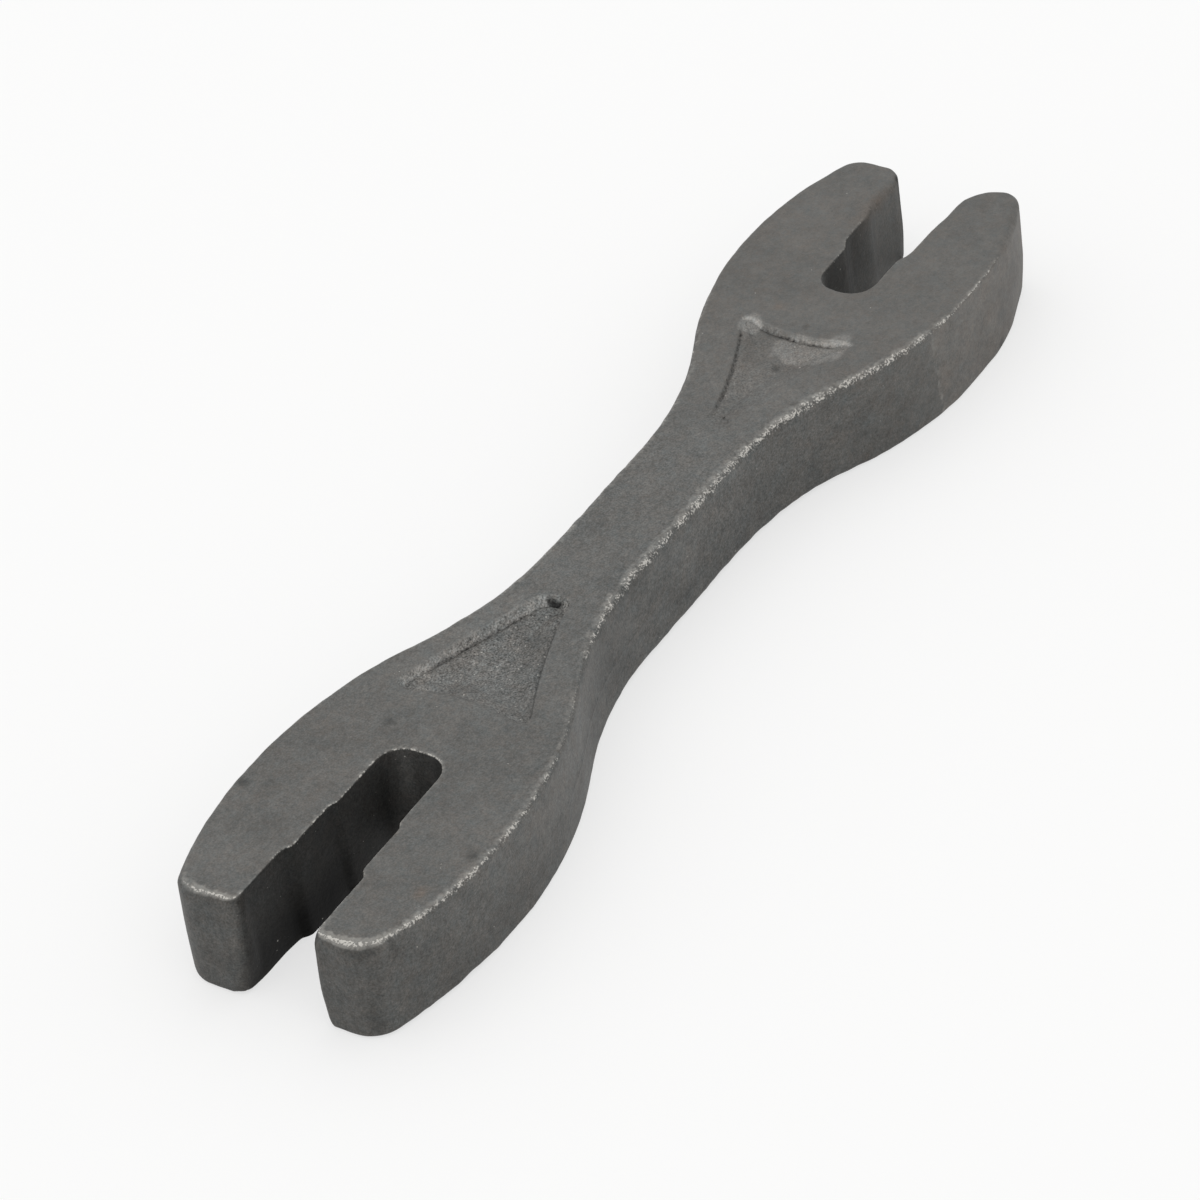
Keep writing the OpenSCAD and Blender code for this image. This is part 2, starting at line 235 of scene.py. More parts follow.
# The widths in mm of the ripple along the walls and of the patches on the floors. Then how much the ripple swings
# the grooves and the pale bands, and how much the patches swing the floor's roughness and paleness.
RIPPLE_WIDTH = 1.1
PATCH_WIDTH = 2.6
GROOVE_SWING = (0.6, 0.4)
PALE_AND_LIT_SWING = (0.7, 0.4)
PATCHY_ROUGH = 0.7
PATCHY_PALE = 0.13
# The deep slit that the die left at the apex of the hollow in the wide head: its place, half width, half length and
# depth in mm, its slant, where its ends fade as shares of its half length, and how dark its painted shade is.
SLIT_AT = (-10.7, 0.36)
SLIT_HALF = (0.17, 0.8)
SLIT_DEPTH = 0.2
SLIT_SLANT = 0.1
SLIT_ENDS = (1, 0.4)
SLIT_SHADE = 2
# A round dent in the floor of the hollow in the narrow head.
DENT_AT = (22.35, -0.3)
DENT_HALF = 0.4
DENT_DEPTH = 0.2

# Where the ground part of the right flank begins at the top edge, and how far further on per mm down. It comes in
# over this distance, and this is half the width of the line at its border, all in mm.
GROUND_FROM = (30.5, 0.09)
GROUND_FADE = 0.35
GROUND_LINE_HALF = 0.25
# From high on a wall to low on it, in mm above the bench.
HIGH_TO_LOW = (7.5, 1.5)
# How bright the walls are against the top face: on the flanks, high and low, and in the openings, high and low. On
# the flanks this is partly the scale's own tone and partly painted shade that darkens them towards the bottom. In
# the openings it is painted shade, darkest low down.
FLANK_TONE_AND_SHADE_HIGH = {
    -50.5: 0.82, -49: 0.9, -44: 0.86, -40: 0.93, -36: 1.05, -33: 1.04, -24: 1.02, -16: 0.93, -12: 0.9, -7: 0.9,
    2: 0.935, 7: 0.93, 14: 0.87, 20: 0.83, 24: 0.99, 28: 0.97, 33: 0.99, 40: 0.93, 44: 0.85,
}
FLANK_TONE_AND_SHADE_LOW = {
    -50.5: 0.78, -48.5: 0.74, -44: 0.7, -36: 0.745, -32: 0.72, -28: 0.815, -20: 0.87, -14: 0.85, -7: 0.89, 4: 0.825,
    12: 0.715, 16: 0.78, 22: 0.755, 28: 0.84, 33: 0.88, 40: 0.79, 44: 0.74,
}
SLOT_SHADE_HIGH = {-50.5: 0.9, -49.7: 0.6, -49: 0.5, -40: 0.5, -34: 0.7, 35: 0.6, 41: 0.57, 45: 0.89, 50: 0.9}
SLOT_SHADE_LOW = {-50.5: 0.6, -49.7: 0.22, -49: 0.1, -40: 0.03, -34: 0.3, 35: 0.45, 45: 0.69, 50: 0.71}
# How much painted shade darkens the shoulders in the openings and the tips of the wide jaws, and how much paler the
# ground part is.
SHOULDER_SHADE = {-40: 0.3, 35: 0.93, 45: 0.93}
TIP_SHADE = 0.12
GROUND_PALER = 0.2
# Wear on a rounded edge: where it is strongest along X, and how far the rubbed band and the bare line in it spread,
# as shares of the turn from wall to face. At the wide jaws' tips the bare line is partly a painted highlight.
WEAR_AND_HIGHLIGHT_AT = {-50.3: 0.85, -48: 0.65, -45: 0.55}
RUBBED_HALF = 0.5
BARE_AND_HIGHLIGHT_HALF = {-50.3: 0.14, -48: 0.2, -45: 0.32}
# Marks of forging and handling: place, radii and strength, with places and radii in mm.
STAINS = [
    ((-39, 7, 8.7), (6, 3, 1), 0.045),
    ((-50.1, -8.1, 8.2), (0.8, 1.6, 0.5), 0.3),
    ((-50.2, -8.2, 2.2), (0.6, 0.8, 1.6), 0.14),
    ((-50.7, 4.1, 2.6), (0.5, 0.28, 2.1), 0.16),
    ((-48.3, -9.1, 7.5), (0.35, 0.6, 0.9), 0.25),
    ((-45, -10.2, 5.4), (1.6, 0.8, 1), 0.08),
    ((-38.5, 10.3, 8.7), (0.5, 0.5, 0.5), 0.4),
    ((-38.4, -9.9, 8.7), (0.5, 0.5, 0.5), 0.35),
    ((-28.2, 4, 8.7), (0.4, 0.4, 0.5), 0.4),
    ((-38, 8.2, 8.7), (2, 0.8, 1), 0.12),
    ((27.4, -0.4, 8.7), (0.35, 0.3, 0.5), 0.35),
    ((17.9, -4.8, 8.5), (0.3, 0.25, 0.5), 0.5),
    ((22.35, -0.3, 8.1), (0.4, 0.35, 0.5), 0.45),
    ((-17, -0.8, 8), (3.2, 1, 1), 0.06),
    ((41, -10.3, 0.5), (0.7, 0.8, 0.5), 0.35),
    ((43, -9.6, 0.6), (0.4, 0.6, 0.4), 0.3),
]
MOST_STAINED = 0.8
# The most painted shade at the foot of the hollows' walls and in the slit.
MOST_CREASE_SHADE = 2
PALE_PATCHES = [
    ((-50.3, -7.9, 5.8), (0.4, 0.2, 1.6), 0.12),
    ((-50.4, -7.4, 4), (0.4, 0.5, 0.3), 0.08),
    ((-40, -10.5, 3.5), (1.2, 1.5, 1), 0.12),
    ((-18, 0.3, 8), (7, 5, 2), 0.07),
    ((-22.3, 4.3, 8.3), (2, 1.5, 1), 0.1),
    ((18, 0, 8.2), (4.5, 3, 2), 0.05),
    ((-27, 0, 8.7), (3, 8, 1), 0.04),
    ((39, -6.5, 8.7), (7, 3, 1), 0.05),
    ((23.4, -1, 8.2), (0.35, 0.4, 0.5), 0.3),
    ((48.3, -7, 5), (0.9, 1.5, 3.5), 0.1),
]
# The bare, chalky patch at the base of the hollow in the narrow head, and how much paler and rougher it is. Its
# border is at this strength of its spots, and waves of this width in mm and height make it ragged.
CHALKY = [
    ((24.75, -1.6, 8.2), (1.9, 3.5, 2), 1),
    ((26.3, -3.9, 8.3), (1.7, 1, 2), 1),
    ((26.3, 4.3, 8.3), (1.4, 1.1, 2), 1),
]
CHALK_PALER = 0.46
CHALK_ROUGHER = 0.4
CHALK_BORDER = (0.35, 0.75)
CHALK_WAVES = (0.8, 0.25)
BROWN_SPOTS = [
    ((-43.3, -8.6, 8.7), (0.8, 0.5, 0.5), 0.7),
    ((-48.6, -6.5, 7.3), (1.8, 1.5, 0.5), 0.8),
    ((29, 3.2, 8.7), (0.6, 0.5, 0.5), 0.6),
    ((44.5, 3, 8.2), (3.5, 0.8, 0.8), 0.5),
]

# How brown the scale is all over, how much browner on the two heads and the ground part, and where along X each head
# takes that on. On the narrow head's walls it is browner by this share only.
BROWN = 0.03
WIDE_BROWNER = 0.05
WIDE_BROWN_X = (-10, -30)
NARROW_BROWNER = 0.13
NARROW_BROWN_X = (5, 25)
FLANK_BROWN_SHARE = 0.5
GROUND_BROWNER = 0.2
# How rubbed the line at the border of the ground part is, and how rough the walls of the openings are, which also
# lets painted glints show on them.
GROUND_LINE_RUBBED = 0.5
OPENING_ROUGH = 0.35

# Colours of the surface.
SCALE_COLOUR = "6c6c6a"
BROWN_COLOUR = "766e67"
# Bare steel, also the colour of the painted glints and of the painted highlight at the wide jaws' tips.
BARE_COLOUR = "d3d0c9"
# The dark colour of the painted shade at the foot of the hollows' walls and in the slit.
CREASE_SHADE_COLOUR = "1c1b1b"
PAPER_COLOUR = "f4f4f3"
# The widest mottling of the scale's brightness and of its brown, in mm, and how far each swings over all its sizes.
MOTTLE_WIDTH = 14
MOTTLE_TONE = 1.3
BROWN_WIDTH = 2.5
MOTTLE_BROWN = 2.3
# How lively it is at places along X, and how much more so on the flanks.
GRAIN = {-50: 1.05, -30: 1.1, -10: 1.1, 8: 1.2, 16: 1, 30: 0.95, 45: 0.95}
FLANK_GRAIN = 1.35
# The finest sizes in the same way, and how much they swing, by their widths in mm, on the plain scale and in the
# hollows. Real scale has grains of a few hundredths of a millimetre, too fine to show, so these are drawn coarser.
FINE = {-50: 0.75, -30: 0.8, -10: 1.05, 8: 1.15, 16: 0.75, 30: 0.35, 45: 0.3}
FLANK_FINE = {-50: 1.4, 0: 0.95, 20: 1.6, 45: 1.6}
FINE_GRAIN = {0.9: (0.1, 0.4), 0.33: (0.5, 0.9), 0.15: (0.9, 2.4)}
# The relief that forging leaves: depths and widths in metres.
RELIEF = {
    "Sway depth": 0.04 * MM,
    "Sway width": 7 * MM,
    "Dimple depth": 0.03 * MM,
    "Dimple width": 1.6 * MM,
    "Grain depth": 0.1 * MM,
    "Grain width": 0.5 * MM,
    "Seed": 4.0,
}

# The studio: the strength of the even sky, and the lamp.
SKY_STRENGTH = 0.98
LAMP_SIZE = 0.8
LAMP_AT = (0.35, 0.3, 0.9)
LAMP_WATTS = 0.5
FLOOR_HALF = 2
# How much of the paper's look is its own glow.
PAPER_GLOW = 0.6


def by_place(table, x):
    """The value of a table at places along X, straight between its rows."""
    return np.interp(x, list(table), list(table.values()))


def ease(low, high, x):
    """0 at low, 1 at high, smooth between them and the same beyond them. low may be the larger one."""
    share = np.clip((x - low) / (high - low), 0, 1)
    return share * share * (3 - 2 * share)


def blend(first, second, share):
    """first where the share is 0, second where it is 1."""
    return first * (1 - share) + second * share


def bell(distance, half):
    """1 at no distance, falling off over half the width of a line or a spot."""
    return np.exp(-((distance / half) ** 2))


def waves(points, width, seed):
    """Smooth noise from -1 to 1 at points in mm, with waves about this wide."""
    shift = Vector((seed * 17.3, seed * 5.1, seed * 29.7))
    return np.array([noise.noise(Vector(p) / width + shift) for p in points])


def level_loops(height):
    """The closed loops where a level plane cuts the solid, the longest first, as corners in mm."""
    cut = bmesh.new()
    cut.from_mesh(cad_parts[SOLID].data)
    bmesh.ops.remove_doubles(cut, verts=cut.verts, dist=SAME_POINT * MM)
    everything = cut.verts[:] + cut.edges[:] + cut.faces[:]
    found = bmesh.ops.bisect_plane(cut, geom=everything, plane_co=(0, 0, height * MM), plane_no=(0, 0, 1))
    edges = {e for e in found["geom_cut"] if isinstance(e, bmesh.types.BMEdge)}
    loops = []
    while edges:
        edge = edges.pop()
        start, here = edge.verts
        loop = [start.co.copy(), here.co.copy()]
        while here != start:
            edge = next(e for e in here.link_edges if e in edges)
            edges.remove(edge)
            here = edge.other_vert(here)
            loop.append(here.co.copy())
        loops.append(np.array(loop[:-1])[:, :2] / MM)
    cut.free()
    loops = [corners_only(loop) for loop in loops]
    return sorted(loops, key=lambda loop: -np.ptp(loop[:, 0]))


def cross(a, b):
    """The height of the cross product of level vectors."""
    return a[..., 0] * b[..., 1] - a[..., 1] * b[..., 0]


def corners_only(loop):
    """The loop anticlockwise, without the points on straight stretches and without sharp slivers."""
    if cross(loop, np.roll(loop, -1, 0)).sum() < 0:
        loop = loop[::-1]
    # The farthest point along the diagonal is a true corner, so every run starts there.
    loop = np.roll(loop, -np.argmax(loop.sum(1)), 0)
    kept = [loop[0]]
    for p, after in zip(loop[1:], np.roll(loop, -2, 0)):
        back, ahead = p - kept[-1], after - p
        stands_out = cross(back, after - kept[-1]) / np.linalg.norm(after - kept[-1])
        cosine = back @ ahead / (np.linalg.norm(back) * np.linalg.norm(ahead))
        sliver = abs(stands_out) < SLIVER and cross(back, ahead) > 0 and cosine < SLIVER_COSINE
        if abs(stands_out) > SAME_POINT / 2 and not sliver:
            kept.append(p)
    return np.array(kept)


def smooth_loop(corners, step):
    """Points along the curve that a faceted loop stands for, and the directions that face out of it."""
    ahead = np.roll(corners, -1, 0) - corners
    length = np.linalg.norm(ahead, axis=1)
    lean = ahead + np.roll(ahead, 1, 0)
    lean /= np.linalg.norm(lean, axis=1)[:, None]
    points, ways = [], []
    for i in range(len(corners)):
        a, b = corners[i], corners[(i + 1) % len(corners)]
        go, come = lean[i] * length[i], lean[(i + 1) % len(corners)] * length[i]
        for t in np.arange(0, 1, 1 / max(2, round(length[i] / step))):
            # A cubic curve from corner to corner, which leaves and arrives along their leans.
            square, cube = t**2, t**3
            between = a * (2 * cube - 3 * square + 1) + b * (3 * square - 2 * cube)
            points.append(between + go * (cube - 2 * square + t) + come * (cube - square))
            straight = (b - a) * 6 * (t - square)
            ways.append(straight + go * (3 * square - 4 * t + 1) + come * (3 * square - 2 * t))
    ways = np.array(ways)
    ways /= np.linalg.norm(ways, axis=1)[:, None]
    return np.array(points), np.stack([ways[:, 1], -ways[:, 0]], 1)


def inside(points, loop):
    """Whether each point lies inside a closed loop."""
    x, y = points[:, :1], points[:, 1:]
    x0, y0 = loop.T
    x1, y1 = np.roll(loop, -1, 0).T
    crossed = ((y0 > y) != (y1 > y)) & (x < x0 + (y - y0) * (x1 - x0) / np.where(y1 == y0, 1, y1 - y0))
    return crossed.sum(1) % 2 == 1


def distance_to(points, loop):
    """How far each point is from the nearest point of a loop."""
    tree = KDTree(len(loop))
    for i, (x, y) in enumerate(loop):
        tree.insert((x, y, 0), i)
    tree.balance()
    return np.array([tree.find((x, y, 0))[2] for x, y in points])


def honeycomb(low, high, step):
    """Points about one step apart that fill a box."""
    xs = np.arange(low[0], high[0], step)
    ys = np.arange(low[1], high[1], step * math.sqrt(0.75))
    grid = [(x + step / 2 * (row % 2), y) for row, y in enumerate(ys) for x in xs]
    return np.array(grid)


def worn_corners(points, ways, reach):
    """The loop with each point drawn towards the middle of its neighbours within its reach."""
    step = np.linalg.norm(np.roll(points, -1, 0) - points, axis=1)
    at = np.cumsum(step) - step
    off = at[None] - at[:, None]
    off = off - np.round(off / step.sum()) * step.sum()
    share = np.exp(-0.5 * (off / np.maximum(reach, 1e-3)[:, None]) ** 2) * step
    share /= share.sum(1)[:, None]
    ways = share @ ways
    return share @ points, ways / np.linalg.norm(ways, axis=1)[:, None]


# The outline at mid height runs around both heads and in and out of both openings.
outline, facing = smooth_loop(level_loops(THICK / 2)[0], OUTLINE_STEP)
at_x, at_y = outline.T
# The brows of the two hollows in the top face, from a cut just below it.
brows = [smooth_loop(loop, HOLLOW_STEP) for loop in level_loops(THICK - BROW_DEPTH)[1:]]

# What each point of the outline is on: an opening's wall, the tip of a jaw, or a flank.
in_opening = ease(*OPENING_Y, abs(at_y)) * ease(*OPENING_X, abs(at_x))
corner_wear = np.where(at_y > 0, by_place(LEFT_CORNER_WEAR, at_x), by_place(RIGHT_CORNER_WEAR, at_x))
outline, facing = worn_corners(outline, facing, corner_wear * in_opening)
at_x, at_y = outline.T
from_end = TIP_X - abs(at_x)
on_tip = ease(*TIP_FACING, abs(facing[:, 0])) * ease(*TIP_REACH, from_end)
on_right = ease(*RIGHT_Y, at_y)


def along_outline(left, right, left_opening, right_opening):
    """One value for each point of the outline, from the tables of its four kinds of edge."""
    flank = blend(by_place(left, at_x), by_place(right, at_x), on_right)
    return blend(flank, blend(by_place(left_opening, at_x), by_place(right_opening, at_x), on_right), in_opening)


def leans(i):
    """How far the walls lean in at the top (0) or underneath (1)."""
    tip = np.where(at_x < 0, WIDE_TIP_LEAN[i], NARROW_TIP_LEAN[i])
    flank = blend(FLANK_LEAN[i], NARROW_FLANK_LEAN[i], ease(*NARROW_FLANK_X, at_x))
    mouth = blend(OPENING_LEAN[i], NARROW_MOUTH_LEAN[i], ease(*NARROW_MOUTH_X, at_x))
    return blend(blend(flank, mouth, in_opening), tip, on_tip)


def on_shoulder():
    """How far each point of the outline is on a shoulder between two steps of an opening."""
    turned = abs(facing[:, 0])
    shoulder = np.where(at_x < 0, ease(*WIDE_SHOULDER_FACING, turned), ease(*NARROW_SHOULDER_FACING, turned))
    return in_opening * shoulder * ease(*SHOULDER_REACH, from_end) * (1 - on_tip)


top_lean, under_lean = leans(0), leans(1)
draft = by_place(OPENING_DRAFT, at_x) * in_opening * (1 - on_tip)
nudge = blend(by_place(LEFT_WALL_NUDGE, at_x), by_place(RIGHT_WALL_NUDGE, at_x), on_right) * in_opening
ridge = RIDGE * by_place(RIDGE_LEFT, at_x) * (1 - in_opening)

outline = outline + facing * (blend(*SET_OUT, in_opening) * ease(*SET_OUT_REACH, from_end))[:, None]
outline = np.clip(outline, LOW[:2], HIGH[:2])

# An edge can't be rounded by more than the outline's own roundness leaves room for.
ahead, behind = np.roll(outline, -1, 0), np.roll(outline, 1, 0)
bend = cross(np.roll(facing, 1, 0), np.roll(facing, -1, 0)) / np.linalg.norm(ahead - behind, axis=1)
room = ROOM_SHARE / np.clip(bend, LEAST_BEND, None)
for _ in range(ROOM_PASSES):
    room = np.minimum(room, np.minimum(np.roll(room, 1), np.roll(room, -1)) + ROOM_STEP)
flat_outline = np.column_stack([outline, np.zeros(len(outline))])
uneven = 1 + sum(share * waves(flat_outline, width, seed) for seed, (share, width) in enumerate(UNEVEN, 1))
top_r = along_outline(LEFT_EDGE_R, RIGHT_EDGE_R, LEFT_OPENING_R, RIGHT_OPENING_R) * uneven
top_r = np.minimum(top_r, room - top_lean - abs(nudge))
under_r = blend(by_place(UNDER_EDGE_R, at_x), by_place(UNDER_OPENING_R, at_x), in_opening) * uneven
under_r = np.minimum(under_r, room - under_lean - abs(nudge))
edge_marks = {
    "wear": along_outline(LEFT_WEAR_AND_HIGHLIGHT, RIGHT_WEAR_AND_HIGHLIGHT, OPENING_WEAR_AND_HIGHLIGHT, OPENING_WEAR_AND_HIGHLIGHT),
    "opening": in_opening,
    "shoulder": on_shoulder(),
    "tip": on_tip,
}


class Skin:
    """The points and faces of the tool's surface, in mm, with what each point is on.

    rise is 0 on the walls, 1 on the top face and -1 underneath. The others run from 0 to 1.
    """

    def __init__(self):
        self.points = []
        self.faces = []
        kinds = ("rise", "wear", "opening", "shoulder", "tip", "rough", "soot", "pale")
        self.marks = {kind: [] for kind in kinds}

    def add(self, points, **marks):
        """Adds points with what they are on, and returns their numbers."""
        first = sum(len(block) for block in self.points)
        self.points.append(points)
        for name, blocks in self.marks.items():
            blocks.append(np.broadcast_to(marks.get(name, 0.0), len(points)))
        return np.arange(first, first + len(points))


skin = Skin()


def wall_inset(z):
    """How far the wall lies inside the outline at a height."""
    above = np.clip((z - PARTING_Z) / (THICK - PARTING_Z), 0, 1)
    below = np.clip((PARTING_Z - z) / PARTING_Z, 0, 1)
    lean = top_lean * above ** LEAN_POWERS[0] + under_lean * below ** LEAN_POWERS[1]
    return lean + ridge * (1 - bell(z - PARTING_Z, RIDGE_HALF)) + nudge - draft * (1 - z / THICK)


def edge_rings(r, face_z, up):
    """The rings of a rounded edge, from the wall to the flat face."""
    rings = []
    for share in np.linspace(0, 1, EDGE_RINGS + 1):
        turn = share * math.pi / 2
        z = face_z - up * r * (1 - math.sin(turn))
        inset = wall_inset(face_z - up * r) + r * (1 - math.cos(turn))
        points = np.column_stack([outline - facing * inset[:, None], z])
        rings.append(skin.add(points, rise=up * share, **edge_marks))
    return rings


def wall_rings():
    """The rings of the wall between its two rounded edges, closer together at the ridge."""
    near = PARTING_Z + RIDGE_HALF * np.array(RIDGE_RINGS)
    low, high = under_r, THICK - top_r
    up_to = np.linspace(0, 1, round((near[0] - low.mean()) / WALL_STEP) + 1)[1:-1]
    on_to = np.linspace(0, 1, round((high.mean() - near[-1]) / WALL_STEP) + 1)[1:-1]
    heights = [low + (near[0] - low) * share for share in up_to]
    heights += [np.full(len(outline), z) for z in near]
    heights += [near[-1] + (high - near[-1]) * share for share in on_to]
    rings = []
    for z in heights:
        points = np.column_stack([outline - facing * wall_inset(z)[:, None], z])
        rings.append(skin.add(points, **edge_marks))
    return rings


def join_rings(rings):
    """Faces between each ring of the outline and the next."""
    for low, high in zip(rings, rings[1:]):
        low_next, high_next = np.roll(low, -1), np.roll(high, -1)
        skin.faces += np.column_stack([low, low_next, high_next, high]).tolist()


under_edge = edge_rings(under_r, 0, -1)
top_edge = edge_rings(top_r, THICK, 1)
join_rings(under_edge[::-1] + wall_rings() + top_edge)

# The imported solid, whose own hollows say how deep these are.
solid_tree = BVHTree.FromObject(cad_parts[SOLID], bpy.context.evaluated_depsgraph_get())


def solid_depth(x, y):
    """How far the solid's top lies below the face at a place."""
    hit = solid_tree.ray_cast(Vector((x, y, 2 * THICK)) * MM, Vector((0, 0, -1)))[0]
    return THICK - hit.z / MM


def face_places():
    """The places of a face's points, the same for both faces.

    The walls of the hollows are rings that lie one inside the other. Their floors and the flat around them are
    filled evenly.
    """
    places = []
    rim = np.array(outline - facing * (wall_inset(THICK - top_r) + top_r)[:, None])
    flat = honeycomb(LOW[:2], HIGH[:2], FACE_STEP)
    flat = flat[inside(flat, rim)]
    flat = flat[distance_to(flat, rim) > FACE_STEP * CLEAR_OF_RIM]
    for brow, out in brows:
        rings = [brow - out * inward for inward in np.arange(*HOLLOW_RINGS)]
        places += rings
        flat = flat[~inside(flat, rings[0]) & (distance_to(flat, rings[0]) > FACE_STEP * CLEAR_OF_RINGS)]
        floor = honeycomb(brow.min(0), brow.max(0), HOLLOW_STEP)
        floor = floor[inside(floor, rings[-1])]
        places.append(floor[distance_to(floor, rings[-1]) > HOLLOW_STEP * CLEAR_OF_RIM])
    return np.concatenate(places + [flat])


def nearest_on(brow, places):
    """The number of the point of a brow that lies nearest to each place."""
    tree = KDTree(len(brow))
    for i, (x, y) in enumerate(brow):
        tree.insert((x, y, 0), i)
    tree.balance()
    return np.array([tree.find((x, y, 0))[1] for x, y in places])


def sunk(places):
    """How deep each place of a face lies, how rough it is, how dark its painted shade is, and how pale it is."""
    depth, rough, soot, pale = np.zeros((4, len(places)))
    flat_places = np.column_stack([places, np.zeros(len(places))])
    ripple = waves(flat_places, RIPPLE_WIDTH, 3)
    patchy = waves(flat_places, PATCH_WIDTH, 5)
    from_middle = abs(places[:, 1])
    for brow, out in brows:
        nearest = nearest_on(brow, places)
        way = out[nearest]
        # The base of each hollow faces its own head.
        head = np.sign(brow[:, 0].mean())
        hollow = NARROW_HOLLOW if head > 0 else WIDE_HOLLOW
        ends = brow[:, 0].min(), brow[:, 0].max()
        base_x, apex_x = ends[::-1] if head > 0 else ends
        along = np.clip((places[:, 0] - base_x) / (apex_x - base_x), 0, 1)
        at_base = ease(*BASE_FACING, way[:, 0] * head)
        at_apex = ease(*BASE_FACING, -way[:, 0] * head)
        beside = 1 - at_base - at_apex
        on_left = ease(*LEFT_FACING, way[:, 1])
        shares = {"left": beside * on_left, "right": beside * (1 - on_left), "base": at_base, "apex": at_apex}
        side = Side(*(sum(shares[name] * hollow.sides[name][i] for name in shares) for i in range(len(Side._fields))))
        bow = 4 * side.bow * along * (1 - along) * beside
        inward = -((places - brow[nearest]) * way).sum(1) - bow

        # The solid's floor is even from base to apex, so two readings give its slope.
        readings = [(share, solid_depth(base_x + (apex_x - base_x) * share, 0)) for share in DEPTH_READ_AT]
        slope, base_depth = np.polyfit(*zip(*readings), 1)
        floor = side.share * ease(side.start, side.end, inward)
        floor += (1 - side.share) * ease(side.end, side.end + FLOOR_RAMP, inward)
        floor *= 1 - hollow.corners_shallower * ease(*CORNER_Y, from_middle) * ease(*CORNER_ALONG, along)
        # The painted shade fades towards the corners.
        fade_beside = ease(*hollow.soot_from, along) * ease(*CREASE_SHADE_TO, along)
        fade = np.where(at_base > 0.5, ease(*CREASE_SHADE_Y, from_middle), fade_beside)
        line = bell(inward - side.end, side.soot_half) * side.soot * fade
        groove = GROOVE_DEPTH * line * (GROOVE_SWING[0] + GROOVE_SWING[1] * ripple)
        depth += (base_depth + slope * along) * floor + groove
        soot += line

        in_hollow = hollow.rough * ease(side.start, side.start + ROUGH_IN, inward)
        rough += in_hollow * (1 + PATCHY_ROUGH * patchy)
        pale += PATCHY_PALE * in_hollow * patchy
        # The walls' pale bands are partly paler steel and partly painted light.
        band = ease(side.start + PALE_AND_LIT_IN[0], side.start + PALE_AND_LIT_IN[1], inward)
        band *= ease(side.end + PALE_AND_LIT_OUT[0], side.end + PALE_AND_LIT_OUT[1], inward)
        band *= hollow.pale_at_base + hollow.pale_growth * along
        pale += side.pale * band * (PALE_AND_LIT_SWING[0] + PALE_AND_LIT_SWING[1] * ripple)
    off_slit = places - SLIT_AT
    off_slit[:, 0] += SLIT_SLANT * off_slit[:, 1]
    slit = bell(off_slit[:, 0], SLIT_HALF[0]) * ease(*SLIT_ENDS, abs(off_slit[:, 1]) / SLIT_HALF[1])
    dent = bell(np.linalg.norm(places - DENT_AT, axis=1), DENT_HALF)
    # The slit is cut in and painted dark with shade.
    return depth + SLIT_DEPTH * slit + DENT_DEPTH * dent, rough, soot + SLIT_SHADE * slit, pale


def fill_face(rim_ring, up):
    """Triangles across the top face (up is 1) or the one underneath (-1), from its rounded rim inwards."""
    rim = np.concatenate(skin.points)[rim_ring][:, :2]
    n = len(rim)
    coords = [Vector(p) for p in np.concatenate([rim, places])]
    edges = [(i, (i + 1) % n) for i in range(n)]
    _, _, triangles, sources, _, _ = delaunay_2d_cdt(coords, edges, [], 0, 1e-7, True)
    triangles = np.array([[sources[corner][0] for corner in t] for t in triangles])
    across = (triangles < n).all(1)
    keep = np.ones(len(triangles), bool)
    keep[across] = inside(rim[triangles[across]].mean(1), rim)
    z = THICK - depth if up > 0 else depth
    inner = skin.add(np.column_stack([places, z]), rise=up, rough=rough, soot=soot, pale=pale)
    index = np.concatenate([rim_ring, inner])
    skin.faces += index[triangles[keep]][:, ::up].tolist()


places = face_places()
depth, rough, soot, pale = sunk(places)
fill_face(top_edge[-1], 1)
fill_face(under_edge[-1], -1)

points = np.concatenate(skin.points)
# x, y and z are views of the points, so the points move with them.
x, y, z = points.T
x += by_place(END_SLANT, y) * ease(*END_SLANT_X, x) * (z / THICK) ** END_SLANT_POWER
foot = ease(*FOOT_X, x) * ease(*FOOT_Y, abs(y)) * ease(THICK, THICK - FOOT_BELOW_TOP, z) * ease(0, FOOT_ABOVE_BENCH, z)
y -= np.sign(y) * FOOT_OUT * foot
on = {name: np.concatenate(blocks) for name, blocks in skin.marks.items()}
wall = 1 - ease(*FACE_RISE, abs(on["rise"]))
flank = wall * (1 - on["opening"])


def spots(table):
    """How strongly each point is marked, from rows of place, radii across and along, and strength."""
    total = np.zeros(len(points))
    for place, radii, strength in table:
        total += strength * np.exp(-(((points - place) / radii) ** 2).sum(1) ** 2)
    return total


# The part of the narrow head's right flank that was ground after forging.
ground_x = x - GROUND_FROM[0] - GROUND_FROM[1] * (THICK - z)
right_flank = flank * ease(*RIGHT_Y, y)
ground = ease(0, GROUND_FADE, ground_x) * right_flank
ground_line = bell(ground_x, GROUND_LINE_HALF) * right_flank
chalk = ease(*CHALK_BORDER, spots(CHALKY) + CHALK_WAVES[1] * waves(points, CHALK_WAVES[0], 6))

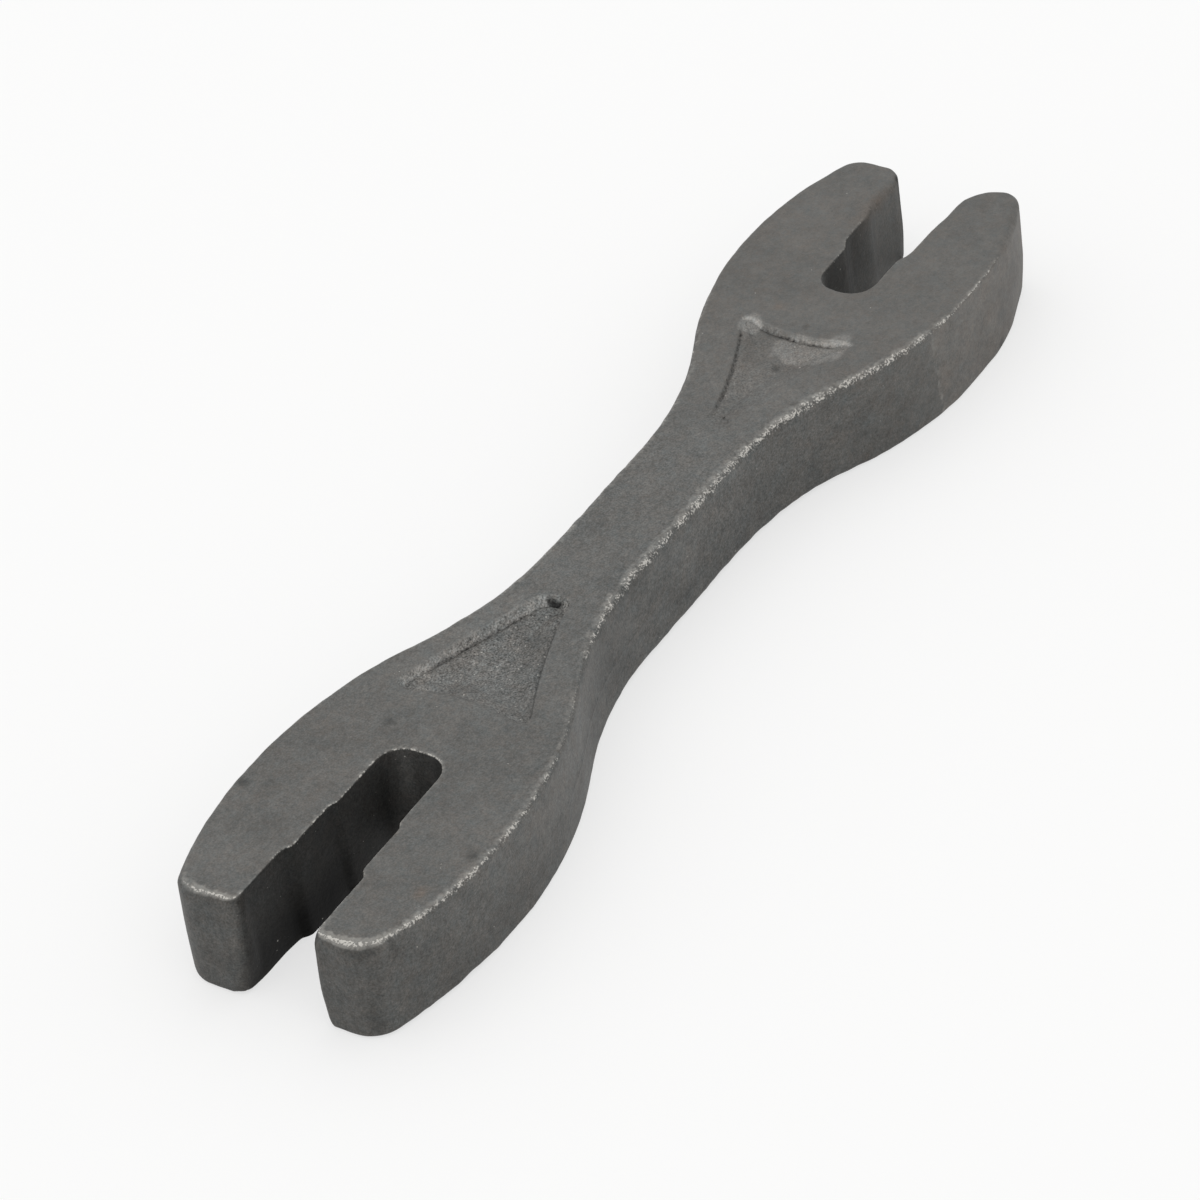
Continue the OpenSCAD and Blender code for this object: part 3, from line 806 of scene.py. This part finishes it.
# Painted shade on the walls: darker towards the bottom, darkest low in the openings, and darker on the shoulders and
# on the wide jaws' tips. The flanks keep some of the scale's own tone, and the ground part is paler steel.
low = ease(*HIGH_TO_LOW, z)
flank_tone_and_shade = blend(by_place(FLANK_TONE_AND_SHADE_HIGH, x), by_place(FLANK_TONE_AND_SHADE_LOW, x), low)
flank_tone_and_shade *= (1 - TIP_SHADE * on["tip"] * (x < 0)) * (1 + GROUND_PALER * ground)
slot_shade = blend(by_place(SLOT_SHADE_HIGH, x), by_place(SLOT_SHADE_LOW, x), low)
slot_shade *= 1 - by_place(SHOULDER_SHADE, x) * on["shoulder"]
tone_and_shading = blend(1, blend(flank_tone_and_shade, slot_shade, on["opening"]), wall)
tone_and_shading *= (1 + on["pale"]) * (1 + spots(PALE_PATCHES) + CHALK_PALER * chalk)
tone_and_shading *= 1 - np.clip(spots(STAINS), 0, MOST_STAINED)

brown = BROWN + WIDE_BROWNER * ease(*WIDE_BROWN_X, x) + GROUND_BROWNER * ground + spots(BROWN_SPOTS)
brown += NARROW_BROWNER * ease(*NARROW_BROWN_X, x) * (1 - FLANK_BROWN_SHARE * wall)
off_wear = on["rise"] - by_place(WEAR_AND_HIGHLIGHT_AT, x)
finish = {
    "tone_and_shading": tone_and_shading,
    "grain": by_place(GRAIN, x) * blend(1, FLANK_GRAIN, flank),
    "fine": by_place(FINE, x) * blend(1, by_place(FLANK_FINE, x), flank),
    "brown": brown,
    "rubbed": on["wear"] * bell(off_wear, RUBBED_HALF) * (1 - wall) + GROUND_LINE_RUBBED * ground_line,
    "bare_and_highlight": on["wear"] * bell(off_wear, by_place(BARE_AND_HIGHLIGHT_HALF, x)),
    "rough": on["rough"] + CHALK_ROUGHER * chalk + OPENING_ROUGH * wall * on["opening"],
    "soot": np.clip(on["soot"], 0, MOST_CREASE_SHADE),
}


mesh = bpy.data.meshes.new("forging")
mesh.from_pydata(points * MM, [], skin.faces)
for name, values in finish.items():
    layer = mesh.attributes.new(name, "FLOAT", "POINT")
    layer.data.foreach_set("value", values.astype(np.float32))
mesh.validate()
mesh.shade_smooth()
forging = bpy.data.objects.new("forging", mesh)
bpy.context.scene.collection.objects.link(forging)


def linear(hex_colour):
    """An sRGB colour such as 6b6a67 as linear red, green, blue and alpha."""
    parts = [int(hex_colour[i : i + 2], 16) / 255 for i in (0, 2, 4)]
    return tuple(c / 12.92 if c <= 0.04045 else ((c + 0.055) / 1.055) ** 2.4 for c in parts) + (1,)


def add(tree, kind, inputs=None, **settings):
    """A new node with its settings, and its inputs as values or links."""
    node = tree.nodes.new(kind)
    for name, value in settings.items():
        setattr(node, name, value)
    for key, value in (inputs or {}).items():
        if isinstance(value, bpy.types.NodeSocket):
            tree.links.new(value, node.inputs[key])
        else:
            node.inputs[key].default_value = value
    return node


def forged_steel():
    """Drop-forged steel under its black scale.

    The hammer and the fire leave the scale matt and mottled, and handling wears the edges to bright steel.
    Painted shade, painted glints and a painted highlight at the wide jaws' tips are in its colour too.
    """
    material = bpy.data.materials.new("blackened forged steel")
    material.use_nodes = True
    tree = material.node_tree
    tree.nodes.clear()
    place = add(tree, "ShaderNodeTexCoord").outputs["Object"]
    mark = {name: add(tree, "ShaderNodeAttribute", attribute_name=name).outputs["Fac"] for name in finish}
    grains = {
        width: add(tree, "ShaderNodeTexNoise", {"Vector": place, "Scale": 1 / (width * MM), "Detail": 1.0}).outputs[0]
        for width in FINE_GRAIN
    }
    coarse, medium, finest = grains.values()

    def swing(factor, wave, reach):
        """The factor, which swings with a wave as far as this reach."""
        off = add(tree, "ShaderNodeMath", {0: wave, 1: 0.5}, operation="SUBTRACT").outputs[0]
        off = add(tree, "ShaderNodeMath", {0: off, 1: reach, 2: 1.0}, operation="MULTIPLY_ADD").outputs[0]
        return add(tree, "ShaderNodeMath", {0: factor, 1: off}, operation="MULTIPLY").outputs[0]

    # The scale is mottled in patches of every size, from a finger's breadth down to single grains.
    mottling = [
        add(
            tree, "ShaderNodeTexNoise",
            {"Vector": place, "Scale": 1 / (width * MM), "W": seed, "Detail": detail, "Roughness": 1.0},
            noise_dimensions="4D",
        ).outputs[0]
        for width, seed, detail in ((MOTTLE_WIDTH, 1.0, 7.0), (BROWN_WIDTH, 2.0, 5.0))
    ]
    lively = add(tree, "ShaderNodeMath", {0: mark["grain"], 1: MOTTLE_TONE}, operation="MULTIPLY").outputs[0]
    tone_and_shading = swing(mark["tone_and_shading"], mottling[0], lively)
    for width, (calm, rough) in FINE_GRAIN.items():
        reach = add(tree, "ShaderNodeMapRange", {"Value": mark["rough"], "To Min": calm, "To Max": rough}).outputs[0]
        reach = add(tree, "ShaderNodeMath", {0: mark["fine"], 1: reach}, operation="MULTIPLY").outputs[0]
        tone_and_shading = swing(tone_and_shading, grains[width], reach)
    brown = add(tree, "ShaderNodeMath", {0: mottling[1], 1: 0.5}, operation="SUBTRACT").outputs[0]
    brown = add(
        tree, "ShaderNodeMath", {0: brown, 1: MOTTLE_BROWN, 2: mark["brown"]}, operation="MULTIPLY_ADD"
    ).outputs[0]
    scale = add(
        tree, "ShaderNodeMix", {0: brown, 6: linear(SCALE_COLOUR), 7: linear(BROWN_COLOUR)},
        data_type="RGBA", clamp_factor=False,
    ).outputs[2]
    scale = add(tree, "ShaderNodeVectorMath", {0: scale, "Scale": tone_and_shading}, operation="SCALE").outputs[0]

    # The worn edges are rubbed pale in ragged patches, and bare steel shines through along the middle. At the wide
    # jaws' tips that bright line is partly a painted highlight.
    ragged = swing(swing(1.0, coarse, 2.0), medium, 1.8)
    rubbed = add(tree, "ShaderNodeMath", {0: mark["rubbed"], 1: ragged}, operation="MULTIPLY").outputs[0]
    rubbed = add(
        tree, "ShaderNodeMapRange", {"Value": rubbed, "From Min": 0.2, "From Max": 0.9, "To Max": 0.22}
    ).outputs[0]
    specks = swing(mark["bare_and_highlight"], finest, 5.0)
    specks = add(tree, "ShaderNodeMath", {0: specks, 1: ragged}, operation="MULTIPLY").outputs[0]
    specks = add(
        tree, "ShaderNodeMapRange", {"Value": specks, "From Min": 0.6, "From Max": 1.5, "To Max": 0.75}
    ).outputs[0]
    worn_and_highlight = add(tree, "ShaderNodeMath", {0: rubbed, 1: specks}, operation="MAXIMUM").outputs[0]
    colour = add(tree, "ShaderNodeMix", {0: worn_and_highlight, 6: scale, 7: linear(BARE_COLOUR)}, data_type="RGBA").outputs[2]

    # Painted glints: specks of bare-steel colour stand in for single crystals catching the light, in clusters in the
    # rough hollows and seldom elsewhere.
    speck = add(tree, "ShaderNodeTexNoise", {"Vector": place, "Scale": 1 / (0.2 * MM), "Detail": 0.0}).outputs[0]
    speck = add(tree, "ShaderNodeMath", {0: coarse, 1: 0.4, 2: speck}, operation="MULTIPLY_ADD").outputs[0]
    from_here = add(tree, "ShaderNodeMapRange", {"Value": mark["rough"], "To Min": 1.12, "To Max": 0.99}).outputs[0]
    painted_glint = add(tree, "ShaderNodeMath", {0: speck, 1: from_here}, operation="SUBTRACT").outputs[0]
    painted_glint = add(tree, "ShaderNodeMapRange", {"Value": painted_glint, "From Max": 0.06, "To Max": 0.6}).outputs[0]
    colour = add(tree, "ShaderNodeMix", {0: painted_glint, 6: colour, 7: linear(BARE_COLOUR)}, data_type="RGBA").outputs[2]

    # Painted shade lies in ragged dark lines at the foot of the hollows' walls and in the slit.
    soot = add(tree, "ShaderNodeMath", {0: medium, 1: 2.2, 2: mark["soot"]}, operation="MULTIPLY_ADD").outputs[0]
    soot = add(tree, "ShaderNodeMapRange", {"Value": soot, "From Min": 1.5, "From Max": 2.6, "To Max": 0.9}).outputs[0]
    colour = add(tree, "ShaderNodeMix", {0: soot, 6: colour, 7: linear(CREASE_SHADE_COLOUR)}, data_type="RGBA").outputs[2]

    # Worn steel is smoother than scale, and the scale's grains stand up a little.
    roughness = add(tree, "ShaderNodeMapRange", {"Value": worn_and_highlight, "To Min": 0.6, "To Max": 0.4}).outputs[0]
    height = add(tree, "ShaderNodeMath", {0: medium, 1: 2.0, 2: finest}, operation="MULTIPLY_ADD").outputs[0]
    bump = add(tree, "ShaderNodeBump", {"Height": height, "Strength": 0.5, "Distance": 0.02 * MM}).outputs[0]
    shader = add(
        tree, "ShaderNodeBsdfPrincipled",
        {"Base Color": colour, "Metallic": 0.9, "Roughness": roughness, "Normal": bump},
    )
    add(tree, "ShaderNodeOutputMaterial", {"Surface": shader.outputs[0]})
    return material


def forged_relief():
    """A tree that sinks a surface by three sizes of noise, the finest only where the mark called rough is set."""
    tree = bpy.data.node_groups.new("forged relief", "GeometryNodeTree")
    tree.interface.new_socket("Surface", in_out="INPUT", socket_type="NodeSocketGeometry")
    for name in RELIEF:
        tree.interface.new_socket(name, in_out="INPUT", socket_type="NodeSocketFloat")
    tree.interface.new_socket("Steel", in_out="INPUT", socket_type="NodeSocketMaterial")
    tree.interface.new_socket("Surface", in_out="OUTPUT", socket_type="NodeSocketGeometry")
    given = add(tree, "NodeGroupInput").outputs
    rough = add(tree, "GeometryNodeInputNamedAttribute", {"Name": "rough"}, data_type="FLOAT").outputs["Attribute"]
    depth = 0.0
    for kind, where in (("Sway", 1.0), ("Dimple", 1.0), ("Grain", rough)):
        scale = add(tree, "ShaderNodeMath", {0: 1.0, 1: given[kind + " width"]}, operation="DIVIDE").outputs[0]
        wave = add(
            tree, "ShaderNodeTexNoise", {"Scale": scale, "W": given["Seed"], "Detail": 1.0}, noise_dimensions="4D"
        ).outputs[0]
        sunk_by = add(tree, "ShaderNodeMath", {0: wave, 1: given[kind + " depth"]}, operation="MULTIPLY").outputs[0]
        depth = add(tree, "ShaderNodeMath", {0: sunk_by, 1: where, 2: depth}, operation="MULTIPLY_ADD").outputs[0]
    inwards = add(tree, "ShaderNodeMath", {0: depth, 1: -1.0}, operation="MULTIPLY").outputs[0]
    normal = add(tree, "GeometryNodeInputNormal").outputs[0]
    offset = add(tree, "ShaderNodeVectorMath", {0: normal, "Scale": inwards}, operation="SCALE").outputs[0]
    moved = add(tree, "GeometryNodeSetPosition", {"Geometry": given["Surface"], "Offset": offset}).outputs[0]
    whole = add(tree, "GeometryNodeRealizeInstances", {"Geometry": moved}).outputs[0]
    steel = add(tree, "GeometryNodeSetMaterial", {"Geometry": whole, "Material": given["Steel"]}).outputs[0]
    add(tree, "NodeGroupOutput", {"Surface": steel})
    return tree


relief = forging.modifiers.new("relief", "NODES")
relief.node_group = forged_relief()
values = {**RELIEF, "Steel": forged_steel()}
for socket in relief.node_group.interface.items_tree:
    if socket.in_out == "INPUT" and socket.name in values:
        relief[socket.identifier] = values[socket.name]
depsgraph = bpy.context.evaluated_depsgraph_get()
formed = bpy.data.meshes.new_from_object(
    forging.evaluated_get(depsgraph), preserve_all_data_layers=True, depsgraph=depsgraph
)
forging.modifiers.remove(relief)
forging.data = formed

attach(forging, BODY)
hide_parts(SOLID)

# The studio: pale paper under an even white sky, with one broad soft lamp overhead.
paper = bpy.data.materials.new("matt white paper")
paper.use_nodes = True
paper_tree = paper.node_tree
paper_shader = paper_tree.nodes["Principled BSDF"]
paper_shader.inputs["Base Color"].default_value = linear(PAPER_COLOUR)
paper_shader.inputs["Roughness"].default_value = 1
# Seen straight or in the steel, the paper glows partly by itself, which keeps only a faint shadow on it.
ray = add(paper_tree, "ShaderNodeLightPath").outputs
seen = add(paper_tree, "ShaderNodeMath", {0: ray["Is Camera Ray"], 1: ray["Is Glossy Ray"]}).outputs[0]
seen = add(paper_tree, "ShaderNodeMath", {0: seen, 1: ray["Is Transmission Ray"]}).outputs[0]
seen = add(paper_tree, "ShaderNodeMath", {0: seen, 1: PAPER_GLOW}, operation="MULTIPLY").outputs[0]
glow = add(paper_tree, "ShaderNodeEmission", {"Strength": 1.0}).outputs[0]
paper_look = add(paper_tree, "ShaderNodeMixShader", {0: seen, 1: paper_shader.outputs[0], 2: glow}).outputs[0]
paper_tree.links.new(paper_look, paper_tree.nodes["Material Output"].inputs["Surface"])
floor_mesh = bpy.data.meshes.new("floor")
floor_mesh.from_pydata(
    [(x * FLOOR_HALF, y * FLOOR_HALF, 0) for x, y in ((-1, -1), (1, -1), (1, 1), (-1, 1))], [], [(0, 1, 2, 3)]
)
floor_mesh.materials.append(paper)
floor = bpy.data.objects.new("floor", floor_mesh)
bpy.context.scene.collection.objects.link(floor)

world = bpy.data.worlds.new("studio")
bpy.context.scene.world = world
world.use_nodes = True
sky = world.node_tree.nodes["Background"].inputs
sky["Color"].default_value = (1, 1, 1, 1)
sky["Strength"].default_value = SKY_STRENGTH

lamp = bpy.data.objects.new("soft lamp", bpy.data.lights.new("soft lamp", "AREA"))
lamp.data.shape = "SQUARE"
lamp.data.size = LAMP_SIZE
lamp.data.energy = LAMP_WATTS
lamp.location = LAMP_AT
lamp.rotation_euler = Vector(LAMP_AT).to_track_quat("Z", "Y").to_euler()
bpy.context.scene.collection.objects.link(lamp)

bpy.context.scene.view_settings.view_transform = "Standard"
